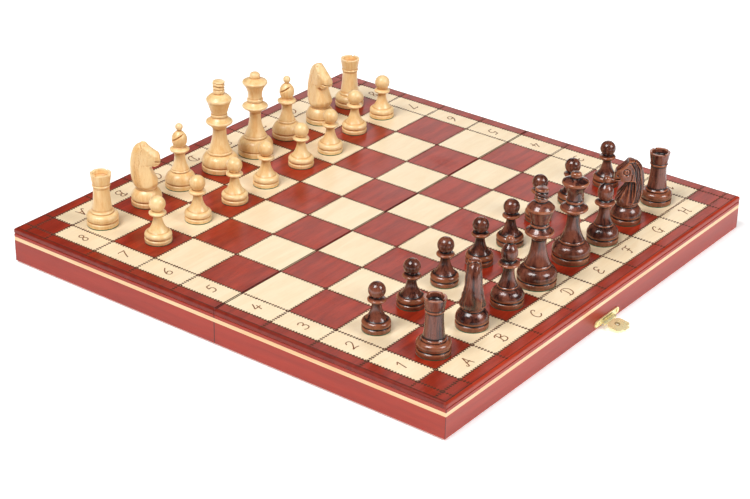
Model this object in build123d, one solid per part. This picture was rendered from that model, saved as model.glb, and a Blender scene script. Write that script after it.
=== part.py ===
from build123d import *
import os

os.makedirs("parts", exist_ok=True)

# Folding magnetic chess box, open, with its thirty-two chessmen.
# Millimetres. X runs along the files A to H, Y from rank 1 to rank 8, Z up.
# The origin is the middle of the open board on the plane of the rims.

# board
SQ = 37.0                    # one square
FIELD = 8 * SQ               # playing field
STRIP = 17.5                 # pale strip that carries the letters and numbers
BORDER = 9.5                 # red edge outside the strip
HALF = FIELD / 2 + STRIP + BORDER   # half of the open board's side
H = 24.0                     # depth of one half of the box
EDGE_R = 1.6                 # rounding of the playing panel's outer top edge
LOW_R = 0.8                  # and of its lower edge

# frame walls and the boards they carry
PANEL_T = 4.0                # plywood playing panel, laid over the walls
BODY_H = H - PANEL_T         # height of the walls
WALL = 10.0                  # thickness of an outer wall
CREASE_WALL = 9.0            # wall beside the fold
STEEL_T = 0.5                # steel sheet that holds the magnets
LINING_T = 2.0               # board glued under the steel
FIT = 0.1                    # clearance round a dropped-in board
INLAY_Z = BODY_H - 5.0       # lower edge of the pale inlay
INLAY_H = 2.7
INLAY_D = 1.5
EASE = 0.4                   # eased edges along the fold

# fold hinges
HINGE_X = 105.0              # middle of each hinge
LEAF_L = 32.0
LEAF_W = 8.0
LEAF_T = 0.8
PIN_R = 0.5
RUN = 0.05                   # radial running clearance of every pin
KNUCKLE_R = 1.15
KNUCKLE_GAP = 0.1
MID_KNUCKLE = 10.0           # length of the middle knuckle
KNUCKLE_ROOM = 0.3           # room cut round the knuckles
SCREW_R = 0.9
SCREW_HEAD_R = 1.7
SCREW_HEAD_T = 0.5
SCREW_L = 8.0
SCREW_X = 10.0
SCREW_Y = 5.0                # from the fold to the row of screws

# latch on the rank 1 wall
LATCH_X = 0.8
PLATE_L = 29.0
PLATE_H = 4.4
PLATE_Z = 3.9
PLATE_T = 0.8
LATCH_PIN_R = 0.55
LATCH_KNUCKLE_R = 1.25
LATCH_PIN_Z = 2.4
LATCH_PIN_Y = HALF + PLATE_T + LATCH_KNUCKLE_R + 0.1
TAB_ROOT = 4.3               # half width of the tab where it is rolled
TAB_T = 0.8
TAB_L = 13.2
TAB_W = 7.2                  # half width of the leaf
TAB_HOLE = 6.3               # from the pin to the middle of the hole
TAB_HOLE_R = 1.3
TAB_DROOP = 7.5              # degrees, so that the lip comes down to the table
LIP_R = 0.6
STUD_R = 0.8
NAIL_R = 0.6
NAIL_HEAD_R = 1.3
NAIL_L = 7.0
NAIL_X = 12.2
ROLL_L = 3.0                 # length of the plate's knuckle on each side of the tab
CATCH_L = 13.0               # catch plate on the rank 8 wall
CATCH_H = 3.6
CATCH_T = 0.6
CATCH_NAIL_X = 5.0
STUD_L = 2.9

# under every chessman
FELT_T = 0.6
FELT_IN = 0.5                # felt stands this far inside the base
MAGNET_T = 2.5
POCKET_GAP = 0.1


def box(x0, x1, y0, y1, z0, z1):
    return Pos((x0 + x1) / 2, (y0 + y1) / 2, (z0 + z1) / 2) * Box(x1 - x0, y1 - y0, z1 - z0)


def rod_x(r, x0, x1, y, z):
    return Pos((x0 + x1) / 2, y, z) * Rot(0, 90, 0) * Cylinder(r, x1 - x0)


def put(name, *solids):
    shape = solids[0] if len(solids) == 1 else Compound(children=list(solids))
    shape.label = name
    export_step(shape, "parts/" + name + ".step")


def far(shape):
    return mirror(shape, about=Plane.XZ)


# one outer wall, outside face on y = -HALF, running the whole width
def long_wall():
    wall = box(-HALF, HALF, -HALF, -HALF + WALL, 0, BODY_H)
    wall = chamfer(wall.edges().filter_by(Axis.X).group_by(Axis.Z)[-1].sort_by(Axis.Y)[0], EASE)
    wall -= box(-HALF, HALF, -HALF - 1, -HALF + INLAY_D, INLAY_Z, INLAY_Z + INLAY_H)
    return wall


def mitre(sign):
    # the corner triangle that belongs to the side wall
    s = HALF + 30
    pts = [(sign * HALF, -HALF), (sign * (HALF - 40), -HALF + 40), (sign * s, -HALF + 40), (sign * s, -HALF)]
    return extrude(make_face(Polyline(*pts, close=True)), H)


end_wall = long_wall() - mitre(1) - mitre(-1)
side_full = Rot(0, 0, 90) * long_wall()
side_h = side_full & box(0, HALF, -HALF, 0, 0, H)
side_h = side_h & mitre(1) + (side_h & box(0, HALF, -HALF + 40, 0, 0, H))
side_a = mirror(side_h, about=Plane.YZ)
crease_wall = box(-HALF + WALL, HALF - WALL, -CREASE_WALL, 0, 0, BODY_H)

inlay = Pos(0, 0, INLAY_Z + INLAY_H / 2) * (
    Box(2 * HALF, 2 * HALF, INLAY_H) - Box(2 * (HALF - INLAY_D), 2 * (HALF - INLAY_D), INLAY_H))
inlay = inlay & box(-HALF, HALF, -HALF, 0, 0, H)
inlay_end = inlay & box(-HALF, HALF, -HALF, -HALF + INLAY_D, 0, H)
inlay_h = inlay & box(0, HALF, -HALF + INLAY_D, 0, 0, H)
inlay_a = mirror(inlay_h, about=Plane.YZ)

panel = box(-HALF, HALF, -HALF, 0, BODY_H, H)


def outer_edges(board, which):
    # the three edges of the board's top or foot that are not on the fold
    level = board.edges().group_by(Axis.Z)[which]
    return level.sort_by(Axis.Y)[:-1]


panel = fillet(outer_edges(panel, -1), EDGE_R)
panel = fillet(outer_edges(panel, 0), LOW_R)
panel = chamfer(panel.edges().filter_by(Axis.X).sort_by(Axis.Y)[-2:].sort_by(Axis.Z)[-1], EASE)
inner = HALF - WALL - FIT
steel = box(-inner, inner, -inner, -CREASE_WALL - FIT, BODY_H - STEEL_T, BODY_H)
lining = box(-inner, inner, -inner, -CREASE_WALL - FIT,
             BODY_H - STEEL_T - LINING_T, BODY_H - STEEL_T)


# fold hinges: leaves let into the rims of the two crease walls
def leaf(x, side):
    # side -1 is the half with ranks 1 to 4, +1 the other one
    back = LEAF_W + 0.5
    plate = box(x - LEAF_L / 2, x + LEAF_L / 2, 0, back, 0, LEAF_T)
    m = MID_KNUCKLE / 2
    ends = [(x - LEAF_L / 2, x - m - KNUCKLE_GAP), (x + m + KNUCKLE_GAP, x + LEAF_L / 2)]
    middle = [(x - m, x + m)]
    own, other = (ends, middle) if side < 0 else (middle, ends)
    for x0, x1 in other:
        plate -= box(x0 - KNUCKLE_GAP, x1 + KNUCKLE_GAP, -1, KNUCKLE_R + KNUCKLE_ROOM, -1, 2)
    for x0, x1 in own:
        plate += rod_x(KNUCKLE_R, x0, x1, 0, 0)
    plate -= rod_x(PIN_R + RUN, x - LEAF_L, x + LEAF_L, 0, 0)
    for sx in (-SCREW_X, SCREW_X):
        hole = Pos(x + sx, SCREW_Y, 0)
        plate -= hole * Cylinder(SCREW_R, 4)
        plate -= hole * Cylinder(SCREW_HEAD_R, 2 * SCREW_HEAD_T)
    return plate if side > 0 else far(plate)


def leaf_seat(x):
    seat = box(x - LEAF_L / 2 - FIT, x + LEAF_L / 2 + FIT, -LEAF_W - 0.5 - FIT, 1, -1, LEAF_T)
    seat += rod_x(KNUCKLE_R + KNUCKLE_ROOM, x - LEAF_L / 2 - KNUCKLE_ROOM,
                  x + LEAF_L / 2 + KNUCKLE_ROOM, 0, 0)
    for sx in (-SCREW_X, SCREW_X):
        seat += Pos(x + sx, -SCREW_Y, SCREW_L / 2) * Cylinder(SCREW_R, SCREW_L)
    return seat


def screw(x, y):
    shank = Pos(x, y, SCREW_L / 2) * Cylinder(SCREW_R, SCREW_L)
    head = Pos(x, y, SCREW_HEAD_T / 2) * Cylinder(SCREW_HEAD_R, SCREW_HEAD_T)
    slot = box(x - SCREW_HEAD_R, x + SCREW_HEAD_R, y - 0.2, y + 0.2, -1, 0.25)
    return shank + head - slot


hinges = (-HINGE_X, HINGE_X)
for x in hinges:
    crease_wall -= leaf_seat(x)
leaves_1 = [leaf(x, -1) for x in hinges]
leaves_5 = [leaf(x, 1) for x in hinges]
pins = [rod_x(PIN_R, x - LEAF_L / 2, x + LEAF_L / 2, 0, 0) for x in hinges]
screws_1 = [screw(x + sx, -SCREW_Y) for x in hinges for sx in (-SCREW_X, SCREW_X)]
screws_5 = [far(s) for s in screws_1]


# latch: plate and tab on the rank 1 wall, catch on the rank 8 wall
def stadium(length, height, r_hole, x_hole):
    with BuildSketch(Plane.XZ.offset(HALF)) as s:
        with Locations((LATCH_X, PLATE_Z)):
            SlotOverall(length, height)
        with Locations((LATCH_X - x_hole, PLATE_Z), (LATCH_X + x_hole, PLATE_Z)):
            Circle(r_hole, mode=Mode.SUBTRACT)
    return s.sketch


def nail(x, y, z, way):
    shank = Pos(x, y - way * NAIL_L / 2, z) * Rot(90, 0, 0) * Cylinder(NAIL_R, NAIL_L)
    head = Pos(x, y, z) * Rot(90, 0, 0) * Cylinder(NAIL_HEAD_R, 0.8)
    head = head & box(x - 3, x + 3, min(y, y + way), max(y, y + way), z - 3, z + 3)
    return shank + head


m = TAB_ROOT
outer = m + KNUCKLE_GAP
plate = extrude(stadium(PLATE_L, PLATE_H, NAIL_R, NAIL_X), PLATE_T)
for x0 in (LATCH_X - outer - ROLL_L, LATCH_X + outer):
    x1 = x0 + ROLL_L
    roll = rod_x(LATCH_KNUCKLE_R, x0, x1, -LATCH_PIN_Y, LATCH_PIN_Z)
    roll += box(x0, x1, -LATCH_PIN_Y, -HALF - PLATE_T / 2,
                LATCH_PIN_Z + LATCH_KNUCKLE_R - PLATE_T, LATCH_PIN_Z + LATCH_KNUCKLE_R)
    plate += roll
plate -= rod_x(LATCH_PIN_R + RUN, -20, 20, -LATCH_PIN_Y, LATCH_PIN_Z)
plate_nails = [nail(LATCH_X + s * NAIL_X, -HALF - PLATE_T, PLATE_Z, -1) for s in (-1, 1)]
reach = outer + ROLL_L
latch_pin = rod_x(LATCH_PIN_R, LATCH_X - reach, LATCH_X + reach, -LATCH_PIN_Y, LATCH_PIN_Z)


def tab_shape():
    # flat tab drawn along -y from the pin, then turned down to the table
    with BuildLine() as line:
        Line((m, 0), (m, -2.0))
        ThreePointArc((m, -2.0), (m + 1.9, -2.9), (TAB_W, -5.0))
        Line((TAB_W, -5.0), (TAB_W + 0.2, -10.4))
        ThreePointArc((TAB_W + 0.2, -10.4), (TAB_W - 0.6, -11.4), (3.4, -11.9))
        Line((3.4, -11.9), (2.8, -TAB_L))
        Line((2.8, -TAB_L), (0, -TAB_L))
        Line((0, -TAB_L), (0, 0))
        Line((0, 0), (m, 0))
    half = make_face(line.line)
    flat = extrude(half, TAB_T)
    flat = Pos(0, 0, -TAB_T / 2) * (flat + mirror(flat, about=Plane.YZ))
    flat += rod_x(LATCH_KNUCKLE_R, -m, m, 0, 0)
    flat += rod_x(LIP_R, -2.8, 2.8, -TAB_L, 0)
    flat -= rod_x(LATCH_PIN_R + RUN, -m - 1, m + 1, 0, 0)
    flat -= Pos(0, -TAB_HOLE, 0) * Cylinder(TAB_HOLE_R, 4)
    return flat


tab = Pos(LATCH_X, -LATCH_PIN_Y, LATCH_PIN_Z) * Rot(TAB_DROOP, 0, 0) * tab_shape()

stud_z = TAB_HOLE - LATCH_PIN_Z
catch = Pos(LATCH_X, HALF + CATCH_T / 2, stud_z) * Rot(90, 0, 0) * Box(CATCH_L, CATCH_H, CATCH_T)
catch += Pos(LATCH_X, HALF + STUD_L / 2, stud_z) * Rot(90, 0, 0) * Cylinder(STUD_R, STUD_L)
for s in (-1, 1):
    catch -= Pos(LATCH_X + s * CATCH_NAIL_X, HALF, stud_z) * Rot(90, 0, 0) * Cylinder(NAIL_R, 4)
catch_nails = [nail(LATCH_X + s * CATCH_NAIL_X, HALF + CATCH_T, stud_z, 1) for s in (-1, 1)]


end_1 = end_wall & box(-HALF, HALF, -HALF, 0, 0, H)
end_5 = far(end_1)
for s in (-1, 1):
    bore = Rot(90, 0, 0) * Cylinder(NAIL_R, 2 * NAIL_L)
    end_1 -= Pos(LATCH_X + s * NAIL_X, -HALF - PLATE_T, PLATE_Z) * bore
    end_5 -= Pos(LATCH_X + s * CATCH_NAIL_X, HALF + CATCH_T, stud_z) * bore

put("half1_wall_end", end_1)
put("half5_wall_end", end_5)
put("half1_wall_a", side_a)
put("half5_wall_a", far(side_a))
put("half1_wall_h", side_h)
put("half5_wall_h", far(side_h))
put("half1_wall_crease", crease_wall)
put("half5_wall_crease", far(crease_wall))
put("half1_panel", panel)
put("half5_panel", far(panel))
put("half1_steel", steel)
put("half5_steel", far(steel))
put("half1_lining", lining)
put("half5_lining", far(lining))
put("half1_inlay", inlay_a, inlay_end, inlay_h)
put("half5_inlay", far(inlay_a), far(inlay_end), far(inlay_h))
put("hinge_leaves_1", *leaves_1)
put("hinge_leaves_5", *leaves_5)
put("hinge_pins", *pins)
put("hinge_screws_1", *screws_1)
put("hinge_screws_5", *screws_5)
put("latch_plate", plate)
put("latch_nails", *plate_nails)
put("latch_pin", latch_pin)
put("latch_tab", tab)
put("catch_plate", catch)
put("catch_nails", *catch_nails)


# Chessmen. Each turned outline is a list of steps from the foot up to the top:
# (radius, height) is a straight step, (radius, height, bulge) an arc whose
# middle stands that far outside (+) or inside (-) the straight line, and
# (radius, height, r, z) an arc that passes through (r, z).
def turned(steps):
    point = (0.0, FELT_T)
    with BuildLine() as line:
        for step in steps:
            end = step[:2]
            if len(step) == 2:
                Line(point, end)
            elif len(step) == 4:
                ThreePointArc(point, step[2:], end)
            else:
                dx, dz = end[0] - point[0], end[1] - point[1]
                n = (dx * dx + dz * dz) ** 0.5
                mid = ((point[0] + end[0]) / 2 + step[2] * dz / n,
                       (point[1] + end[1]) / 2 - step[2] * dx / n)
                ThreePointArc(point, mid, end)
            point = end
        if point[0] > 0:
            Line(point, (0, point[1]))
            point = (0, point[1])
        Line(point, (0, FELT_T))
    return revolve(Plane.XZ * make_face(line.line), Axis.Z)


# ball on a neck, its centre on the axis
def ball(neck_r, r, z):
    return [(neck_r, z - (r * r - neck_r * neck_r) ** 0.5), (0, z + r, r, z)]


# foot shared by all: lower band, groove, upper band
GROOVE = 0.45                # depth of the groove and half its width


def foot(r, groove_z, top_z):
    g = GROOVE
    return [(r, FELT_T), (r, groove_z - g), (r - g, groove_z - 0.15), (r - g, groove_z + 0.15),
            (r, groove_z + g), (r, top_z)]


PAWN_R, PAWN_BALL, PAWN_BALL_Z = 9.1, 5.4, 26.9
PAWN = foot(PAWN_R, 3.6, 5.3) + [
    (7.0, 7.6, 0.5), (3.0, 18.0, -1.0), (3.1, 18.9), (5.1, 19.7), (5.1, 21.5, 0.75), (3.0, 22.2)
] + ball(3.0, PAWN_BALL, PAWN_BALL_Z)

ROOK_R, ROOK_H, ROOK_TOP, ROOK_CUP = 10.7, 37.4, 7.1, 5.4
ROOK = foot(ROOK_R, 4.0, 5.6) + [
    (7.3, 9.3, 1.3), (7.3, 10.9, 0.5), (6.7, 11.8), (5.5, 27.6, -0.35), (6.0, 28.4, 0.1),
    (6.0, 29.3, 0.2), (5.7, 29.7), (6.0, 30.6, 0.1), (6.3, 32.2), (ROOK_TOP, ROOK_H)]

BISHOP_R = 10.7
BISHOP = foot(BISHOP_R, 4.1, 5.4) + [
    (6.0, 11.7, 1.2), (6.0, 13.3, 0.6), (5.8, 14.0), (3.7, 24.0, -0.6), (4.1, 25.8), (6.2, 26.9),
    (6.2, 28.7, 0.6), (4.4, 29.7), (3.9, 30.4), (4.9, 38.6, 0.95), (1.4, 42.8, 0.3)
] + ball(1.4, 2.2, 44.7)

QUEEN_R = 12.6
QUEEN = foot(QUEEN_R, 4.5, 6.2) + [
    (7.8, 12.6, 1.5), (7.8, 14.6, 0.6), (7.4, 15.6), (4.1, 32.0, -1.1), (8.2, 35.4, -0.25),
    (8.2, 37.6, 0.95), (5.1, 40.2, -0.1), (5.2, 42.6, 0.6), (8.4, 53.4, -1.35), (8.4, 55.5, 0.5),
    (3.3, 57.8, 0.1), (3.4, 60.6, 0.35), (1.8, 61.8, 0.25), (0, 62.1)]

KING_R = 12.8
KING = foot(KING_R, 4.5, 6.2) + [
    (8.2, 12.6, 1.5), (8.2, 14.6, 0.6), (7.8, 15.6), (4.8, 31.4, -0.9), (8.4, 35.1, -0.25),
    (8.4, 37.4, 0.95), (5.4, 40.2, -0.1), (5.4, 42.5, 0.55), (8.3, 51.4), (8.2, 54.1, 0.65),
    (3.5, 57.2, 0.5), (3.5, 57.6), (4.1, 58.2), (4.1, 60.0), (3.6, 60.5), (4.1, 61.0), (4.3, 65.6),
    (3.7, 66.4, 0.15), (0, 66.9)]

KNIGHT_R, KNIGHT_H, NECK_R = 10.5, 45.6, 6.7
DOME_R = 9.06                # crown of the turned blank, centred on the axis
KNIGHT = foot(KNIGHT_R, 4.1, 5.4) + [
    (NECK_R, 12.0, 0.9), (NECK_R, 13.3, 0.3), (8.2, 14.4), (10.4, 27.0, 0.7), (8.6, 39.4, 0.6),
    (0, KNIGHT_H, DOME_R * 0.7071, KNIGHT_H - DOME_R * 0.2929)]


def seated(body, base_r, magnet_r):
    pocket = Pos(0, 0, FELT_T + (MAGNET_T + POCKET_GAP) / 2) * Cylinder(
        magnet_r + POCKET_GAP, MAGNET_T + POCKET_GAP)
    felt = Pos(0, 0, FELT_T / 2) * Cylinder(base_r - FELT_IN, FELT_T)
    magnet = Pos(0, 0, FELT_T + MAGNET_T / 2) * Cylinder(magnet_r, MAGNET_T)
    return [body - pocket, magnet, felt]


def make_rook():
    body = turned(ROOK)
    body -= Pos(0, 0, ROOK_H - 4) * Cone(ROOK_CUP - 1.2, ROOK_CUP + 0.2, 8)
    for a in (0, 90):
        body -= Pos(0, 0, ROOK_H + 0.4) * Rot(0, 0, a) * Rot(45, 0, 0) * Box(20, 2.2, 2.2)
    return seated(body, ROOK_R, 5.0)


def make_bishop():
    body = turned(BISHOP)
    # slanting cut in the mitre, open to +x
    body -= Pos(5.2, 0, 38.0) * Rot(32, 0, 0) * Box(5.0, 16.0, 0.8)
    return seated(body, BISHOP_R, 5.0)


def make_king():
    body = turned(KING)
    # two slanting saw cuts across the knob
    for s in (-1, 1):
        for y in (-1, 1):
            body -= Pos(0, 4.2 * y, 62.8) * Rot(0, 24 * s, 0) * Rot(45, 0, 0) * Box(12, 0.9, 0.9)
    return seated(body, KING_R, 6.0)


def make_knight():
    # carved from a turned blank, looking along +x
    blank = turned(KNIGHT)
    low, top = 14.0, KNIGHT_H + 2
    with BuildLine() as line:
        Line((-14, low), (-14, top))
        Line((-14, top), (0.4, top))
        Line((0.4, top), (1.2, 44.8))
        ThreePointArc((1.2, 44.8), (4.4, 41.0), (9.2, 37.6))
        Line((9.2, 37.6), (14, 37.0))
        Line((14, 37.0), (14, 29.3))
        Line((14, 29.3), (8.4, 28.6))
        ThreePointArc((8.4, 28.6), (5.0, 29.0), (2.6, 28.4))
        ThreePointArc((2.6, 28.4), (4.6, 23.2), (7.9, 16.8))
        Line((7.9, 16.8), (7.6, low))
        Line((7.6, low), (-14, low))
    side = extrude(Plane.XZ * make_face(line.line), 14, both=True)
    with BuildLine() as front:
        Polyline((-8.6, low), (-8.2, 18), (-5.9, 35), (-4.4, top), (4.4, top), (5.9, 35), (8.2, 18),
                 (8.6, low), (-8.6, low))
    front = extrude(Plane.YZ * make_face(front.line), 14, both=True)
    head = blank & side & front
    body = (blank & box(-14, 14, -14, 14, 0, low)) + head
    # mouth, ears and eyes
    body -= Pos(8.4, 0, 31.6) * Rot(0, 12, 0) * Box(5.0, 20, 0.7)
    body -= Pos(0.2, 0, KNIGHT_H + 0.2) * Rot(45, 0, 0) * Box(7.0, 2.2, 2.2)
    for y in (-1, 1):
        body -= Pos(3.4, y * 6.3, 37.4) * Rot(90, 0, 0) * Cylinder(0.9, 2.2)
    # mane cuts along the back
    for a in (-24, -8, 8, 24):
        body -= Rot(0, 0, a) * Pos(-10.6, 0, 27.0) * Rot(0, 0, 45) * Box(1.1, 1.1, 22.0)
    return seated(body, KNIGHT_R, 5.0)


men = {"pawn": seated(turned(PAWN), PAWN_R, 4.5), "rook": make_rook(), "bishop": make_bishop(),
       "queen": seated(turned(QUEEN), QUEEN_R, 6.0), "king": make_king(), "knight": make_knight()}

# how far each man stands from the middle of its square, files A to H
back_row = ["rook", "knight", "bishop", "king", "queen", "bishop", "knight", "rook"]
shift_1 = [(-2.8, -5.6), (1.0, -4.9), (1.0, -5.7), (-2.1, -5.4),
           (3.0, -4.3), (1.0, -6.7), (-0.3, -3.1), (1.0, -4.3)]
shift_2 = [(-2.2, 0.4), (-1.5, 2.1), (-2.0, 2.7), (-2.0, 1.6),
           (-4.4, 1.1), (1.6, 7.0), (0.8, 4.1), (3.6, 0.5)]
shift_7 = [(0.9, -3.8), (3.8, -2.8), (3.5, -3.4), (0.4, -2.5),
           (3.4, -1.3), (-1.9, -2.4), (-0.1, 5.7), (-2.0, 7.1)]
shift_8 = [(-4.2, 4.4), (0.3, 3.4), (-1.9, 4.3), (-0.6, 1.7),
           (-1.3, -0.1), (-1.2, 1.4), (-1.6, -0.3), (-0.3, 1.9)]
# heading of the knights, bishops, rooks and kings, degrees from +x
turn_1 = [-8, 35, 40, 60, 0, 45, 130, 60]
turn_8 = [10, -46, 222, 222, 0, 215, 262, 20]


def place(kind, file, rank, shift, turn):
    x = (file - 3.5) * SQ + shift[0]
    y = (rank - 4.5) * SQ + shift[1]
    spot = Pos(x, y, H) * Rot(0, 0, turn)
    name = "abcdefgh"[file] + str(rank) + "_" + ("dark_" if rank < 4 else "light_") + kind
    put(name, *[spot * part for part in men[kind]])


for i in range(8):
    place(back_row[i], i, 1, shift_1[i], turn_1[i])
    place("pawn", i, 2, shift_2[i], 0)
    place("pawn", i, 7, shift_7[i], 0)
    place(back_row[i], i, 8, shift_8[i], turn_8[i])
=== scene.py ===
# %% [markdown]
# A folding chess board of stained wood stands open, with its 32 men set up on it.
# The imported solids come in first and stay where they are. Everything made below is
# in metres, in the same frame: x runs from file A to file H, y from rank 1 to rank 8,
# and z is up, with the rim of the box at 0 and the playing face at 24 mm.

# %% Load the solids
import math

import bmesh
import bpy
import numpy as np
from mathutils import Matrix, Vector


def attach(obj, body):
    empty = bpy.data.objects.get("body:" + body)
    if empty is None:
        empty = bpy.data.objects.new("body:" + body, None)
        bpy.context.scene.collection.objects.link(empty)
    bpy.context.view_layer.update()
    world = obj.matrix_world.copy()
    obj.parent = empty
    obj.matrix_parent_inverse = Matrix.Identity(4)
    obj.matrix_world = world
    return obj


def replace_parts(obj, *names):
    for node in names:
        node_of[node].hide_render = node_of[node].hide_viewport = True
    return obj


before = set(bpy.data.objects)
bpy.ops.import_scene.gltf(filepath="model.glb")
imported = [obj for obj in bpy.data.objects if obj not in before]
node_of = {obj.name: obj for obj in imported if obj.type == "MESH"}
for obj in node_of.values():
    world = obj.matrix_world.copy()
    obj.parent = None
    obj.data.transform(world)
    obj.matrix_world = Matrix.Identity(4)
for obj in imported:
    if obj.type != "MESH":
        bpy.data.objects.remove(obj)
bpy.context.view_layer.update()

# %% Sizes of the board
MM = 0.001
SQUARE = 37 * MM
FIELD = 148 * MM          # from the middle to the edge of the 64 squares
STRIP = 165.5 * MM        # from the middle to the outer edge of the pale strips
HALF = 175 * MM           # from the middle to the outside of the board
TOP = 24 * MM             # height of the playing face
PANEL_LOW = 20 * MM       # height of the joint under the playing panel
RIM = HALF - 1.9 * MM     # from the middle to where the edge starts to round
TRAY = HALF - 9.5 * MM    # what is nearer to the middle than this is inside the box
FOLD = 0.5 * MM           # from the fold to where the faces of a half start
LABEL_AT = (FIELD + STRIP) / 2
print("board:", 2 * HALF, "m wide, face at", TOP)

# %% [markdown]
# Node trees are written as text here. `add` makes one node and wires or fills its
# inputs, and `get` gives its first output. `Number` lets a socket be added,
# multiplied and compared like an ordinary number, which reads better than a page of
# Math nodes.

# %% Helpers for node trees
def wire(value, socket):
    """Links a socket or a Number to a socket, or fills it with a constant."""
    value = getattr(value, "socket", value)
    if isinstance(value, bpy.types.NodeSocket):
        socket.id_data.links.new(value, socket)
    else:
        socket.default_value = value


def add(tree, kind, inputs=None, **settings):
    made = tree.nodes.new(kind)
    for key, value in settings.items():
        setattr(made, key, value)
    for key, value in (inputs or {}).items():
        wire(value, made.inputs[key])
    return made


def get(tree, kind, inputs=None, **settings):
    """The first output of a new node."""
    return add(tree, kind, inputs, **settings).outputs[0]


def tree_of(*values):
    """The node tree of the first of these that is a socket."""
    sockets = [getattr(value, "socket", value) for value in values]
    return next(s.id_data for s in sockets if isinstance(s, bpy.types.NodeSocket))


class Number:
    """A node socket that does arithmetic."""

    def __init__(self, socket):
        self.socket = socket

    def do(self, operation, *others):
        inputs = dict(enumerate((self, *others)))
        return Number(get(tree_of(self), "ShaderNodeMath", inputs, operation=operation))

    def __neg__(self):
        return self * -1.0

    def __abs__(self):
        return self.do("ABSOLUTE")

    def ramp(self, low, high, to_low=0.0, to_high=1.0):
        """Smooth step from to_low at low to to_high at high."""
        return Number(get(tree_of(self), "ShaderNodeMapRange",
                          {"Value": self, "From Min": low, "From Max": high, "To Min": to_low,
                           "To Max": to_high}, interpolation_type="SMOOTHSTEP"))


for sign, operation in (("add", "ADD"), ("sub", "SUBTRACT"), ("mul", "MULTIPLY"), ("truediv", "DIVIDE"),
                        ("gt", "GREATER_THAN"), ("lt", "LESS_THAN")):
    setattr(Number, f"__{sign}__", lambda a, b, operation=operation: a.do(operation, b))


def noise(place, scale, detail=2.0, roughness=0.5, distortion=0.0):
    made = add(tree_of(place), "ShaderNodeTexNoise",
               {"Vector": place, "Scale": scale, "Detail": detail, "Roughness": roughness,
                "Distortion": distortion})
    return Number(made.outputs["Fac"])


def mix(share, first, second, how="MIX"):
    # sockets 6 and 7 and output 2 are the ones for colours
    return add(tree_of(share, first, second), "ShaderNodeMix", {0: share, 6: first, 7: second},
               data_type="RGBA", blend_type=how).outputs[2]


def rgb(red, green, blue):
    """Linear colour from the 0 to 255 values that a picture editor shows."""
    def linear(c):
        c = c / 255
        return c / 12.92 if c <= 0.04045 else ((c + 0.055) / 1.055) ** 2.4
    return (linear(red), linear(green), linear(blue), 1.0)


print("a mid grey is", round(rgb(128, 128, 128)[0], 3))

# %% [markdown]
# Every wooden piece here shows the same three things: broad bands of lighter and
# darker wood, fine lines along the grain, and short dark pores. One shader node group
# makes them all, from a position, a stretch along the grain and two colours. It is
# easier to keep right than a copy for each wood.

# %% Group for wood grain
def new_group(name, inputs, outputs, kind="ShaderNodeTree"):
    """A node group, the sockets it is given and the sockets of its result. Each socket
    is named with its type, or with the value it starts with."""
    group = bpy.data.node_groups.new(name, kind)
    for where, sockets in (("INPUT", inputs), ("OUTPUT", outputs)):
        for socket_name, value in sockets.items():
            known = isinstance(value, str)
            made = group.interface.new_socket(name=socket_name, in_out=where,
                                              socket_type=value if known else KINDS[type(value)])
            if not known:
                made.default_value = value
    return group, group.nodes.new("NodeGroupInput").outputs, group.nodes.new("NodeGroupOutput").inputs


REAL, TINT, PLACE = "NodeSocketFloat", "NodeSocketColor", "NodeSocketVector"
KINDS = {float: REAL, int: "NodeSocketInt", tuple: TINT}
WHITE, BLACK, PORE_TINT = (1, 1, 1, 1), (0, 0, 0, 1), (0.45, 0.4, 0.4, 1)


def make_grain_group():
    group, given, result = new_group(
        "wood_grain", {"Place": PLACE, "Stretch": PLACE, "Light": WHITE, "Dark": BLACK, "Contrast": 0.6,
                       "Pores": 0.4}, {"Color": TINT, "Height": REAL})
    along = get(group, "ShaderNodeVectorMath", {0: given["Place"], 1: given["Stretch"]},
                operation="MULTIPLY")
    broad = noise(along, 0.18, 5.0, 0.55, 0.7)
    fine = noise(along, 1.1, 7.0, 0.7, 0.25)
    pores = noise(along, 3.2).ramp(0.60, 0.72) * given["Pores"]
    bands = broad.ramp(0.32, 0.68) * 0.6 + fine.ramp(0.25, 0.75) * 0.4
    share = ((bands - 0.5) * given["Contrast"] + 0.5).do("MAXIMUM", 0.0).do("MINIMUM", 1.0)
    tint = mix(share, given["Light"], given["Dark"])
    darker = mix(1.0, given["Dark"], PORE_TINT, "MULTIPLY")
    wire(mix(pores, tint, darker), result["Color"])
    wire(fine * 0.5 - pores * 0.6, result["Height"])
    return group


GRAIN = make_grain_group()
print("group", GRAIN.name, "ready")

# %% [markdown]
# Varnish is never equally shiny. Where it is thin or handled it turns duller, and
# tiny marks scatter the light. A second group gives that roughness, a mask of rub
# marks, and a ripple for the bump, from noise at two sizes.

# %% Group for the unevenness of varnish
def make_varnish_group():
    group, given, result = new_group(
        "varnish", {"Place": PLACE, "Roughness": 0.3, "Change": 0.12, "Size": 60.0},
        {"Roughness": REAL, "Rubbed": REAL, "Ripple": REAL})
    patches = noise(given["Place"], given["Size"], 4.0, 0.6)
    specks = noise(given["Place"], Number(given["Size"]) * 14.0)
    rubbed = patches.ramp(0.5, 0.75) * specks.ramp(0.4, 0.6)
    change = (patches - 0.5) * given["Change"] * 2.0 + rubbed * given["Change"]
    wire(change + given["Roughness"], result["Roughness"])
    wire(rubbed, result["Rubbed"])
    wire(patches * 0.7 + specks * 0.3, result["Ripple"])
    return group


VARNISH = make_varnish_group()
print("group", VARNISH.name, "ready")

# %% Helpers for materials
def new_material(name):
    """A material, and the place on the object for its textures."""
    material = bpy.data.materials.new(name)
    material.use_nodes = True
    return material, add(material.node_tree, "ShaderNodeTexCoord").outputs["Object"]


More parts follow.
